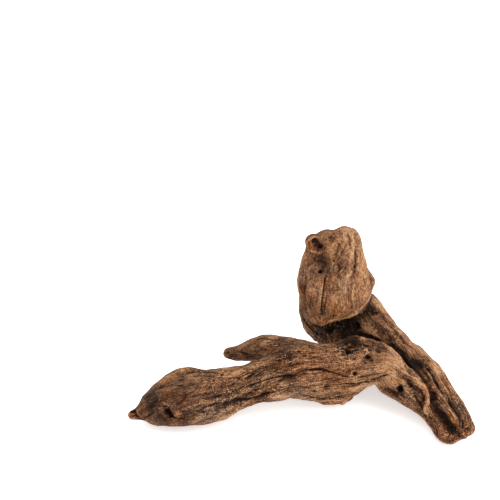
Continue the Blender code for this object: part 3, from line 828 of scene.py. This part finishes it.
# redder (above 0) and greyer (below 0) places: radius in mm, how much, and the middle's pixel
tints = {
    # club
    "nub": (3, 0.7, (131, 413)),
    "clubTip": (7, -0.05, (149, 408)),
    "clubTipTop": (4, -0.3, (154, 392)),
    "clubRed": (5.5, 0.1, (171, 393)),
    "clubRedLow": (4, 0.2, (180, 400)),
    "clubGrey": (2.2, -0.75, (180.5, 381.5)),
    "clubGreyRight": (2.0, -0.75, (191, 384)),
    "clubTop": (5, 0.2, (184, 371)),
    "clubTopRight": (6, 0.2, (212, 379)),
    "clubUnder": (7, -0.4, (203, 420)),
    "clubUnderRight": (6, -0.3, (222, 413)),
    "clubHoleRight": (3, 0.3, (181, 413)),
    "clubRight": (5, -0.3, (208, 389)),
    # waist
    "waistLow": (5, -0.1, (250, 400)),
    # trunk
    "trunkGrey": (5, -0.3, (294, 391)),
    "trunkSwirl": (4, -0.3, (316, 386)),
    "trunkTop": (6, 0.2, (303, 362)),
    "trunkRight": (9, 0.3, (352, 366)),
    "trunkMiddle": (6, 0.2, (316, 369)),
    # twig
    "twigPatch": (5, 0.35, (285, 353)),
    # front lobe
    "lobe": (5, 0.3, (335, 401)),
    "lobeFace": (6, 0.3, (336, 391)),
    # sand pocket
    "sandyLeft": (5, -0.3, (345, 350)),
    "sandyBump": (2, 0.9, (350.5, 347)),
    "sandyTop": (5, 0.4, (353, 343)),
    # fork and the valley under it
    "valley": (6, 0.35, (430, 390)),
    "fork": (5, 0.3, (413, 369)),
    # knot, fin and hook
    "knot": (5, 0.15, (402, 392)),
    "finFoot": (5, 0.4, (423, 403)),
    # limb
    "limbTop": (7, -0.05, (384, 330)),
    "limb": (7, -0.1, (405, 345)),
    "tip": (7, 0.5, (452, 432)),
    "limbLow": (4, -0.25, (455, 403)),
    # neck and the recess under the burl
    "neckTop": (5, -0.5, (343, 329)),
    "neckLeft": (5, -0.6, (318, 336)),
    # burl
    "burlStain": (4.5, -0.1, (321, 258)),
    "burlLeft": (4, 0.5, (303, 293)),
    "burlTop": (6, 0.2, (335, 245)),
    "burlMiddle": (6, 0.15, (338, 264)),
    "burlGrey": (4, -0.15, (312, 268)),
    "burlRight": (8, 0.25, (362, 272)),
    "burlRightLow": (7, 0.2, (356, 298)),
    "burlLow": (6, 0.5, (338, 311)),
    "burlRightTop": (6, -0.3, (350, 265)),
    # ear
    "ear": (4, 0.5, (312, 244)),
}

marks = {
    "curveSteps": 4,  # between two points of a path
    "reach": 4,  # widths from its line, further out a crack has no effect
    "wander": 0.35,  # how far an edge strays, as a share of the width
    "fade": (2.5, 0.25),  # mm at each end of a crack, and what is left of it at the very end
    "darkWidth": 0.85,  # of the width
    "thin": 0.95,  # mm, a narrower crack is drawn by the shader, as a line thinner than the cells
    "thinDark": 0.45,  # and only this share of its dark is on the mesh
    "lineEnd": (1.2, 1.8),  # mm from the crack, where the shader's line fades out
    "ragged": 0.3,  # the same for a hollow's edge, of its radius
    "hollowWander": 1.2,  # how much of the wander it has as well
    "hollowWall": 1.2,  # how steep its side is
    "hollowDark": 0.9,  # radius of its dark, of the radius
    "eatenEdge": (0.15, -1.1, -0.45),  # share of the mottle, and from where to where a rough place sets in
}


def nearPath(points, normals, path):
    # the distance to a path, a fade towards its ends, and the signed distance sideways
    best = np.full(len(points), 1e9)
    placeOn = np.zeros(len(points))
    side = np.zeros(len(points))
    done = 0.0
    for start, end in zip(path, path[1:]):
        along = end - start
        length = np.linalg.norm(along) + 1e-9
        t = np.clip((points - start) @ along / length**2, 0, 1)
        away = points - start - t[:, None] * along
        gap = np.linalg.norm(away, axis=1)
        nearer = gap < best
        best = np.where(nearer, gap, best)
        placeOn = np.where(nearer, done + t * length, placeOn)
        side = np.where(nearer, (away * np.cross(along / length, normals)).sum(1), side)
        done += length
    fadeLength, fadeEnd = marks["fade"]
    fade = np.minimum(placeOn, done - placeOn) / min(fadeLength, done / 3)
    return best, np.clip(fade, fadeEnd, 1), side


def roundedPath(points):  # a curve through the path's points
    pins = [points[0], *points, points[-1]]
    curve = []
    for before, start, end, after in zip(pins, pins[1:], pins[2:], pins[3:]):
        first = end - before
        second = 2 * before - 5 * start + 4 * end - after
        third = 3 * start - before - 3 * end + after
        for t in np.arange(0, 1, 1 / marks["curveSteps"]):
            curve.append(start + 0.5 * (first * t + second * t**2 + third * t**3))
    return np.array(curve + [points[-1]])


carved = np.zeros(len(places))  # height in mm
darkened = np.zeros(len(places))
lightened = np.zeros(len(places))
crackLine = np.full(len(places), 2.0)  # signed distance in mm to the line of the nearest thin crack
crackDark = np.zeros(len(places))
wander = marks["wander"] * pattern["wander"]
ragged = marks["ragged"] * pattern["ragged"]


def layCrack(width, depth, dark, path):
    line = roundedPath([onWood(*pixel) for pixel in path])
    reach = marks["reach"] * width + 1
    inReach = (places > line.min(0) - reach) & (places < line.max(0) + reach)
    near = np.flatnonzero(inReach.all(axis=1))
    gap, fade, side = nearPath(places[near], outward[near], line)
    gap = np.maximum(gap + wander[near] * width, 0)
    carved[near] -= depth * fade * np.exp(-((gap / width) ** 2))
    stroke = dark * fade * np.exp(-((gap / (marks["darkWidth"] * width)) ** 2))
    if dark < 0:
        lightened[near] -= stroke
    elif width < marks["thin"]:
        darkened[near] = np.maximum(darkened[near], stroke * marks["thinDark"])
        nearer = np.abs(side) < np.abs(crackLine[near])
        own = near[nearer]
        crackLine[own] = side[nearer]
        crackDark[own] = (dark * fade * (1 - smoothStep(gap, *marks["lineEnd"])))[nearer]
    else:
        darkened[near] = np.maximum(darkened[near], stroke)


def layHollow(radius, depth, dark, pixel):
    gap = gapTo(pixel) * (1 + marks["hollowWander"] * wander) - radius * ragged
    carved[:] -= depth * np.exp(-((gap / radius) ** 4) * marks["hollowWall"])
    spot = np.exp(-((gap / (marks["hollowDark"] * radius)) ** 3))
    darkened[:] += max(dark, 0) * spot
    lightened[:] += max(-dark, 0) * spot


def roughPlaces():
    mottled, low, high = marks["eatenEdge"]
    deepest = np.zeros(len(places))
    for radius, depth, pixel in roughSpots.values():
        within = -gapTo(pixel) / radius - mottled * pattern["mottle"]
        deepest = np.maximum(deepest, depth * smoothStep(within, low, high))
    return deepest


def sumOfSpots(spots):
    return sum(value * np.exp(-((gapTo(pixel) / radius) ** 2)) for radius, value, pixel in spots.values())


for crack in cracks.values():
    layCrack(*crack)
for hollow in hollows.values():
    layHollow(*hollow)
rough = roughPlaces()
print("cracks, hollows and rough places laid")

# relief of the weathered surface

relief = {
    "grain": {"broad": 0.26, "ridges": 0.2, "threads": 0.11},  # mm
    "checks": 0.38,  # mm, the natural cracks along the fibres
    "fineChecks": 0.19,
    "dashes": 0.35,
    "pits": 0.4,
    "checkWidths": (0.13, 0.2),  # of the checks and of the fine ones
    "eaten": (1.1, 0.4),  # mm in the rough places, and the share that stands above the surface
    "eatenSmooth": 0.6,  # how much of the other relief a rough place takes away
    "softened": 0.25,  # how far the carved surface is evened out
}
showing = {  # from where to where a pattern comes out
    "checks": (0.6, 1.7),
    "fineChecks": (0.4, 1.5),
    "dashes": (1.1, 2.1),
    "pits": (0.5, 0.85),
    "pitted": (0.2, 0.9),
    "eaten": (0.15, 0.7),
    "resting": (0.15, 1.6),  # mm above the floor
}

# how rough each part of the wood is: middle and radius in mm, strength of the grain and of the checks
regions = {
    "burl": ((18, 26, 50), 18, 0.15, 0.03),
    "club": ((-60, -27, 10), 14, 0.3, 0.15),
    "clubMiddle": ((-38, -24, 11), 11, 0.9, 1.0),
    "waist": ((-20, -18, 14), 10, 0.85, 0.95),
    "twig": ((-30, 4, 16), 10, 0.5, 0.25),
    "trunk": ((8, -12, 18), 16, 0.8, 0.65),
    "trunkRight": ((26, -13, 19), 8, 0.5, 0.4),
    "shoulder": ((35, -8, 22), 10, 0.3, 0.3),
    "fork": ((52, -20, 14), 11, 0.8, 0.5),
    "limb": ((45, 6, 20), 13, 0.5, 0.35),
    "limbLow": ((60, -8, 13), 8, 0.45, 0.3),
    "tip": ((68, -32, 6), 10, 0.95, 0.8),
    "neck": ((24, 24, 25), 12, 1.2, 1.0),
    "back": ((28, 35, 20), 12, 1.0, 1.0),
}


def byRegion():
    total = np.zeros((len(places), 2))
    weights = np.zeros(len(places))
    for middle, radius, grain, check in regions.values():
        weight = np.exp(-((places - middle) ** 2).sum(1) / radius**2) + 1e-12
        total += weight[:, None] * np.array((grain, check))
        weights += weight
    return (total / weights[:, None]).T


def blend(shares):  # patterns, each with its share
    return sum(share * pattern[name] for name, share in shares.items())


grainStrength, checkStrength = byRegion()
checkWidth, fineCheckWidth = relief["checkWidths"]
checked = smoothStep(pattern["checkPlace"] + 0.4 * pattern["patches"], *showing["checks"]) * checkStrength
fineChecked = smoothStep(pattern["fineCheckPlace"], *showing["fineChecks"]) * checkStrength
pattern["checks"] = np.exp(-((pattern["checkLine"] / checkWidth) ** 2)) * checked
pattern["fineChecks"] = np.exp(-((pattern["fineCheckLine"] / fineCheckWidth) ** 2)) * fineChecked
pattern["dashes"] = smoothStep(pattern["dashes"], *showing["dashes"]) * (0.35 + 0.65 * checkStrength)
pitted = smoothStep(pattern["patches"], *showing["pitted"]) * checkStrength
pattern["pits"] = smoothStep(pattern["pits"], *showing["pits"]) * pitted
eaten = smoothStep(np.abs(pattern["eaten"]) + 0.5 * np.abs(pattern["fineEaten"]), *showing["eaten"])

height = grainStrength * blend(relief["grain"])
height -= blend({name: relief[name] for name in ("checks", "fineChecks", "dashes", "pits")})
eatenDepth, eatenAbove = relief["eaten"]
height *= 1 - relief["eatenSmooth"] * np.clip(rough, 0, 1)
height += carved - eatenDepth * rough * (eaten - eatenAbove)
height *= smoothStep(places[:, 2], *showing["resting"])  # the flats that it stands on stay flat

carvedPlaces = places + outward * height[:, None]
carvedPlaces += relief["softened"] * (spreadVectors(carvedPlaces, 1) - carvedPlaces)
low, high = np.array(cadBox[0]) / mm, np.array(cadBox[1]) / mm
carvedPlaces = np.clip(carvedPlaces, low, high)
wood.data.vertices.foreach_set("co", (carvedPlaces * mm).astype(np.float32).ravel())
wood.data.update()
print("relief carved, from", round(height.min(), 2), "to", round(height.max(), 2), "mm")

# what the material reads at each vertex

weathering = {
    "streak": {"ridges": 0.5, "threads": 0.35, "broad": 0.3},
    "stainAndShade": {"checks": 0.2, "fineChecks": 0.12, "dashes": 0.35, "pits": 0.4},
    "shade": {"patches": 0.22, "mottle": 0.16},
    "tint": {"tint": 0.2, "fineTint": 0.12},
    "fineCrevice": (5, 1.7),  # rounds of evening out, and the share of what lies below that
    "wideCrevice": (60, 0.35),
    "grit": (0.5, 0.75, 0.5),  # everywhere, by the grain's strength, and in the rough places
    "burl": (26, 15),  # mm from its middle, from where to where its own knurled pattern sets in
}


def below(rounds):  # how far a vertex lies below the surface around it
    return ((spreadVectors(carvedPlaces, rounds) - carvedPlaces) * carvedNormals).sum(1)


def giveAttribute(name, values, low, high):
    vector = values.ndim == 2
    attribute = wood.data.attributes.new(name, "FLOAT_VECTOR" if vector else "FLOAT", "POINT")
    values = np.clip(values, low, high).astype(np.float32)
    attribute.data.foreach_set("vector" if vector else "value", values.ravel())


carvedNormals = readVectors(wood.data, "normal")
fineRounds, fineShare = weathering["fineCrevice"]
wideRounds, wideShare = weathering["wideCrevice"]
gritty, grittyGrain, grittyRough = weathering["grit"]
fromBurl = np.linalg.norm(places - regions["burl"][0], axis=1)
# painted shade in hollows and a lighter tone on bulges, from how far each vertex lies below the surface
# around it
giveAttribute("creviceShade", fineShare * spread(below(fineRounds), 1) + wideShare * below(wideRounds), -1, 1)
giveAttribute("streak", np.clip(blend(weathering["streak"]), -2, 2) * (0.5 + 0.5 * grainStrength), -3, 3)
# dark marks: real stains in cracks, checks and pits, together with painted shade from the colour-only marks
# in valleys and recesses
giveAttribute("stainAndShade", darkened + blend(weathering["stainAndShade"]), 0, 1)
# light marks: wear on ridges, together with painted highlights on lit rims and edges
giveAttribute("wearAndHighlight", lightened, 0, 1)
# the wood's own tone from the spots and the noise, together with painted shade and painted highlights from
# the spots so marked
giveAttribute("shade", sumOfSpots(toneAndPaintedLight) + blend(weathering["shade"]), -1.1, 1)
giveAttribute("tint", sumOfSpots(tints) + blend(weathering["tint"]), -1, 1)
giveAttribute("knurled", smoothStep(fromBurl, *weathering["burl"]), 0, 1)
giveAttribute("grit", gritty + grittyGrain * grainStrength + grittyRough * np.clip(rough, 0, 1), 0, 1.5)
giveAttribute("crackLine", crackLine, -2, 2)
giveAttribute("crackDark", crackDark, 0, 1)
giveAttribute("checkLine", pattern["checkLine"], -1, 1)
giveAttribute("checkDark", checked, 0, 1.2)
giveAttribute("fineCheckLine", pattern["fineCheckLine"], -1, 1)
giveAttribute("fineCheckDark", fineChecked, 0, 1.2)
giveAttribute("run", runAt(places), -1, 1)
wood.data.shade_smooth()
print("attributes written")

# materials


def newGroup(name, inputs, outputs):
    group = bpy.data.node_groups.new(name, "ShaderNodeTree")
    for socket, kind in inputs.items():
        group.interface.new_socket(socket, in_out="INPUT", socket_type="NodeSocket" + kind)
    for socket, kind in outputs.items():
        group.interface.new_socket(socket, in_out="OUTPUT", socket_type="NodeSocket" + kind)
    return group, group.nodes.new("NodeGroupInput"), group.nodes.new("NodeGroupOutput")


def addNode(tree, kind, values=None, **settings):  # values are numbers or sockets, by the input's name
    node = tree.nodes.new("ShaderNode" + kind)
    for key, value in settings.items():
        setattr(node, key, value)
    for name, value in (values or {}).items():
        if isinstance(value, bpy.types.NodeSocket):
            tree.links.new(value, node.inputs[name])
        else:
            node.inputs[name].default_value = value
    return node


def mathNode(tree, operation, first, second=0.0):
    return addNode(tree, "Math", {0: first, 1: second}, operation=operation).outputs[0]


def plus(tree, first, second):
    return mathNode(tree, "ADD", first, second)


def times(tree, first, second):
    return mathNode(tree, "MULTIPLY", first, second)


def sumOf(tree, parts):  # pairs of a value and its share
    total = 0.0
    for value, share in parts:
        total = plus(tree, times(tree, value, share), total)
    return total


def between(tree, value, low, high, start=0.0, end=1.0):  # from start at low to end at high
    ends = {"Value": value, "From Min": low, "From Max": high, "To Min": start, "To Max": end}
    return addNode(tree, "MapRange", ends).outputs["Result"]


def noiseNode(tree, coords, scale, detail, distortion):
    settings = {"Vector": coords, "Scale": scale, "Detail": detail, "Distortion": distortion}
    return mathNode(tree, "SUBTRACT", addNode(tree, "TexNoise", settings).outputs["Fac"], 0.5)


def meshValue(tree, name):  # what an attribute of the mesh holds
    return addNode(tree, "Attribute", attribute_name=name).outputs["Fac"]


def drawnNoiseGroup():  # noise finer than the cells, drawn out along the fibres
    inputs = {"Place": "Vector", "Run": "Vector", "Scale": "Float", "Reach": "Float"}
    group, given, out = newGroup("drawnNoise", inputs, {"Value": "Float"})
    place, run, scale, reach = [given.outputs[name] for name in inputs]
    taps = 9
    gain = 3.0
    total = 0.0
    for k in range(taps):
        length = times(group, reach, 2 * k / (taps - 1) - 1)
        shift = addNode(group, "VectorMath", {0: run, "Scale": length}, operation="SCALE").outputs[0]
        at = addNode(group, "VectorMath", {0: place, 1: shift}, operation="ADD").outputs[0]
        tap = addNode(group, "TexNoise", {"Vector": at, "Scale": scale, "Detail": 1.0})
        total = plus(group, tap.outputs["Fac"], total)
    centred = mathNode(group, "SUBTRACT", mathNode(group, "DIVIDE", total, float(taps)), 0.5)
    group.links.new(times(group, centred, gain), out.inputs[0])
    return group


wornWood = {
    "colours": [  # from the deepest crack to the lightest ridge, worn and highlighted
        (0.00, (0.0050, 0.0020, 0.0010)),
        (0.20, (0.0200, 0.0080, 0.0038)),
        (0.40, (0.0700, 0.0285, 0.0125)),
        (0.56, (0.1400, 0.0610, 0.0275)),
        (0.75, (0.2650, 0.1265, 0.0585)),
        (1.00, (0.4750, 0.2650, 0.1350)),
    ],
    "middle": 0.546,  # tone, on the scale of the colours
    "darkest": -0.46,  # away from the middle
    "lightest": 0.38,
    # of these parts, the darkening in hollows is painted shade, and the spots, dark marks and light edges
    # also carry painted shade and painted highlights besides the wood's own tone, stains and wear
    "parts": {"shade": 0.34, "streak": 0.06, "creviceShade": -0.36, "stainAndShade": -0.40, "wearAndHighlight": 0.45},
    "drawn": {"strand": (750, 0.0045), "hair": (1700, 0.0028), "dash": (1250, 0.0026)},  # scale, reach in m
    "noises": {  # scale, detail, distortion
        "patch": (140, 4, 0.0),
        "grain": (950, 2, 0.0),
        "speck": (2000, 1, 0.0),
        "knurl": (380, 3, 1.5),
        "crumb": (1500, 1, 0.0),
        "blotch": (220, 3, 0.0),
    },
    "showing": {"dash": (0.16, 0.34), "crumb": (0.14, 0.24)},  # from where to where it comes out
    "texture": {"strand": 0.30, "hair": 1.25, "dash": -0.27, "crumb": 0.30, "grain": 0.54, "speck": 0.88},
    "calm": (0.08, 0.34, 0.45),  # the tones from where to where the texture grows, and its share at the first
    "patch": 0.23,
    "knurl": 0.9,
    "lines": {  # attribute, half width in it of the line and of its soft edge, share of the tone
        "crack": (0.12, 0.42, -0.42),
        "check": (0.03, 0.11, -0.22),
        "fineCheck": (0.05, 0.17, -0.14),
    },
    "lineBreaks": 0.5,  # how much the specks break a line's edge
    "redder": (-0.012, 0.25),  # hue and saturation, for each step of tint
    "roughness": (0.2, 0.9, 0.95, 0.7),  # tones from where to where, and the roughness at both
    "specular": 0.15,
    "height": {"hair": 1.0, "strand": 0.8, "grain": 1.0, "dash": -0.4, "lines": 1.5},
    "bump": {"Strength": 0.8, "Distance": 0.0007},
}
drawnNoise = drawnNoiseGroup()


def finePatterns(tree, coords):
    run = addNode(tree, "Attribute", attribute_name="run").outputs["Vector"]
    fine = {}
    for name, (scale, reach) in wornWood["drawn"].items():
        given = {"Place": coords, "Run": run, "Scale": scale, "Reach": reach}
        fine[name] = addNode(tree, "Group", given, node_tree=drawnNoise).outputs["Value"]
    for name, settings in wornWood["noises"].items():
        fine[name] = noiseNode(tree, coords, *settings)
    for name, ends in wornWood["showing"].items():
        fine[name] = between(tree, fine[name], *ends)
    return fine


def meshTone(tree):  # what the mesh's attributes give
    tone = sumOf(tree, [(meshValue(tree, name), share) for name, share in wornWood["parts"].items()])
    tone = mathNode(tree, "MINIMUM", tone, wornWood["lightest"])
    return plus(tree, mathNode(tree, "MAXIMUM", tone, wornWood["darkest"]), wornWood["middle"])


def finishedTone(tree, fine, lines):
    tone = meshTone(tree)
    texture = sumOf(tree, [(fine[name], share) for name, share in wornWood["texture"].items()])
    texture = times(tree, texture, meshValue(tree, "grit"))
    texture = times(tree, texture, between(tree, tone, *wornWood["calm"]))  # less in the dark
    knurled = times(tree, fine["knurl"], meshValue(tree, "knurled"))
    parts = [(texture, 1.0), (fine["patch"], wornWood["patch"]), (knurled, wornWood["knurl"]), (lines, 1.0)]
    return plus(tree, tone, sumOf(tree, parts))


def crackLines(tree, fine):
    parts = []
    for name, (core, edge, share) in wornWood["lines"].items():
        gap = mathNode(tree, "ABSOLUTE", meshValue(tree, name + "Line"))
        gap = plus(tree, gap, times(tree, fine["speck"], wornWood["lineBreaks"] * edge))
        drawn = between(tree, gap, core, edge, 1.0, 0.0)
        parts.append((times(tree, drawn, meshValue(tree, name + "Dark")), share))
    return sumOf(tree, parts)


def woodColour(tree, tone, blotch):
    ramp = addNode(tree, "ValToRGB", {"Fac": tone})
    stops = ramp.color_ramp.elements
    while len(stops) < len(wornWood["colours"]):
        stops.new(0.5)
    for stop, (position, colour) in zip(stops, wornWood["colours"]):
        stop.position = position
        stop.color = (*colour, 1)
    tint = mathNode(tree, "SUBTRACT", meshValue(tree, "tint"), blotch)
    hueStep, saturationStep = wornWood["redder"]
    hue = plus(tree, times(tree, tint, hueStep), 0.5)
    saturation = plus(tree, times(tree, tint, saturationStep), 1.0)
    settings = {"Hue": hue, "Saturation": saturation, "Color": ramp.outputs["Color"]}
    return addNode(tree, "HueSaturation", settings).outputs["Color"]


def newMaterial(name):
    material = bpy.data.materials.new(name)
    material.use_nodes = True
    return material, material.node_tree, material.node_tree.nodes["Principled BSDF"]


def woodMaterial():
    material, tree, shader = newMaterial("wornWood")
    fine = finePatterns(tree, addNode(tree, "TexCoord").outputs["Object"])
    lines = crackLines(tree, fine)
    tone = finishedTone(tree, fine, lines)
    colour = woodColour(tree, tone, fine["blotch"])
    tree.links.new(colour, shader.inputs["Base Color"])
    tree.links.new(between(tree, tone, *wornWood["roughness"]), shader.inputs["Roughness"])
    shader.inputs["Specular IOR Level"].default_value = wornWood["specular"]
    fine["lines"] = lines
    height = sumOf(tree, [(fine[name], share) for name, share in wornWood["height"].items()])
    bump = addNode(tree, "Bump", {"Height": height, **wornWood["bump"]})
    tree.links.new(bump.outputs["Normal"], shader.inputs["Normal"])
    return material


wood.data.materials.clear()
wood.data.materials.append(woodMaterial())
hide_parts("driftwood")
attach(wood, "root")
print("wood finished")

# sand caught in the hollows

sand = {
    "seed": 8,
    "spots": [  # how many, spread in mm, and the middle's pixel
        (24, 2.2, (338, 348)),
        (20, 2.0, (352, 356)),
        (7, 2.0, (362, 348)),
        (5, 2.0, (373, 350)),
        (8, 1.4, (367, 364)),
        (14, 2.4, (284, 356)),
        (12, 4.0, (340, 328)),
        (6, 4.5, (226, 392)),
        (2, 1.0, (188, 408)),
        (3, 3.0, (300, 357)),
        (2, 2.0, (407, 389)),
    ],
    "spreadSteps": 1.6,  # standard deviations in the spread
    "radius": (0.13, 0.3),  # mm, the smallest and the largest
    "stretch": (0.7, 1.2),  # of each grain, along each axis
    "dark": (0.42, (0.15, 0.08, 0.042)),  # where on the noise, and the colour
    "pale": (0.7, (0.66, 0.57, 0.46)),
    "noise": 900,
    "roughness": 0.55,
}


def makeSand():
    chance = np.random.default_rng(sand["seed"])
    faces = [tuple(face.vertices) for face in wood.data.polygons]
    carvedSurface = BVHTree.FromPolygons([Vector(p) for p in carvedPlaces], faces)
    grains = bmesh.new()
    for count, spreadOut, pixel in sand["spots"]:
        middle = onWood(*pixel)
        for _ in range(count):
            guess = Vector(middle + chance.normal(0, spreadOut / sand["spreadSteps"], 3))
            seat, _, _, _ = carvedSurface.find_nearest(guess)
            radius = chance.uniform(*sand["radius"])
            grain = bmesh.ops.create_icosphere(grains, subdivisions=1, radius=radius * mm)
            bmesh.ops.scale(grains, vec=chance.uniform(*sand["stretch"], 3), verts=grain["verts"])
            bmesh.ops.translate(grains, vec=seat * mm, verts=grain["verts"])
    mesh = bpy.data.meshes.new("sandGrains")
    grains.to_mesh(mesh)
    grains.free()
    piece = bpy.data.objects.new("sandGrains", mesh)
    bpy.context.scene.collection.objects.link(piece)
    return piece


def sandMaterial():
    material, tree, shader = newMaterial("paleSand")
    coords = addNode(tree, "TexCoord").outputs["Object"]
    noise = addNode(tree, "TexNoise", {"Vector": coords, "Scale": sand["noise"]})
    ramp = addNode(tree, "ValToRGB", {"Fac": noise.outputs["Fac"]})
    for stop, (position, colour) in zip(ramp.color_ramp.elements, (sand["dark"], sand["pale"])):
        stop.position = position
        stop.color = (*colour, 1)
    tree.links.new(ramp.outputs["Color"], shader.inputs["Base Color"])
    shader.inputs["Roughness"].default_value = sand["roughness"]
    return material


grains = makeSand()
grains.data.materials.append(sandMaterial())
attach(grains, "root")
print("sand laid")

# floor and light

studio = {
    "floor": 3,  # m, from its middle to an edge
    "floorColour": (0.95, 0.95, 0.95),
    "roughness": 0.9,
    "glow": 0.5,  # a light table, so shadows stay faint
    "surrounding": 0.95,  # strength of the white all round
    "aim": (0, 0, 0.02),  # m
    "lamps": {  # place in metres, width in metres, watts
        "overhead": ((0.1, 0.2, 1.3), 2.0, 7.0),
        "right": ((0.45, -0.15, 0.55), 0.6, 3.2),
    },
}


def makeFloor():
    mesh = bpy.data.meshes.new("paleFloor")
    sheet = bmesh.new()
    bmesh.ops.create_grid(sheet, x_segments=1, y_segments=1, size=studio["floor"])
    sheet.to_mesh(mesh)
    sheet.free()
    floor = bpy.data.objects.new("paleFloor", mesh)
    material, _, shader = newMaterial("paleFloor")
    shader.inputs["Base Color"].default_value = (*studio["floorColour"], 1)
    shader.inputs["Roughness"].default_value = studio["roughness"]
    shader.inputs["Emission Color"].default_value = (1, 1, 1, 1)
    shader.inputs["Emission Strength"].default_value = studio["glow"]
    floor.data.materials.append(material)
    bpy.context.scene.collection.objects.link(floor)


def makeLight(name, place, width, power):
    data = bpy.data.lights.new(name, "AREA")
    data.size = width
    data.energy = power
    lamp = bpy.data.objects.new(name, data)
    lamp.location = place
    lamp.rotation_euler = (Vector(studio["aim"]) - Vector(place)).to_track_quat("-Z", "Y").to_euler()
    bpy.context.scene.collection.objects.link(lamp)


def makeWorld():
    world = bpy.data.worlds.new("studio")
    world.use_nodes = True
    background = world.node_tree.nodes["Background"].inputs
    background["Color"].default_value = (1, 1, 1, 1)
    background["Strength"].default_value = studio["surrounding"]
    bpy.context.scene.world = world


makeFloor()
for name, settings in studio["lamps"].items():
    makeLight(name, *settings)
makeWorld()
bpy.context.scene.view_settings.view_transform = "Standard"
print("floor and lights set")
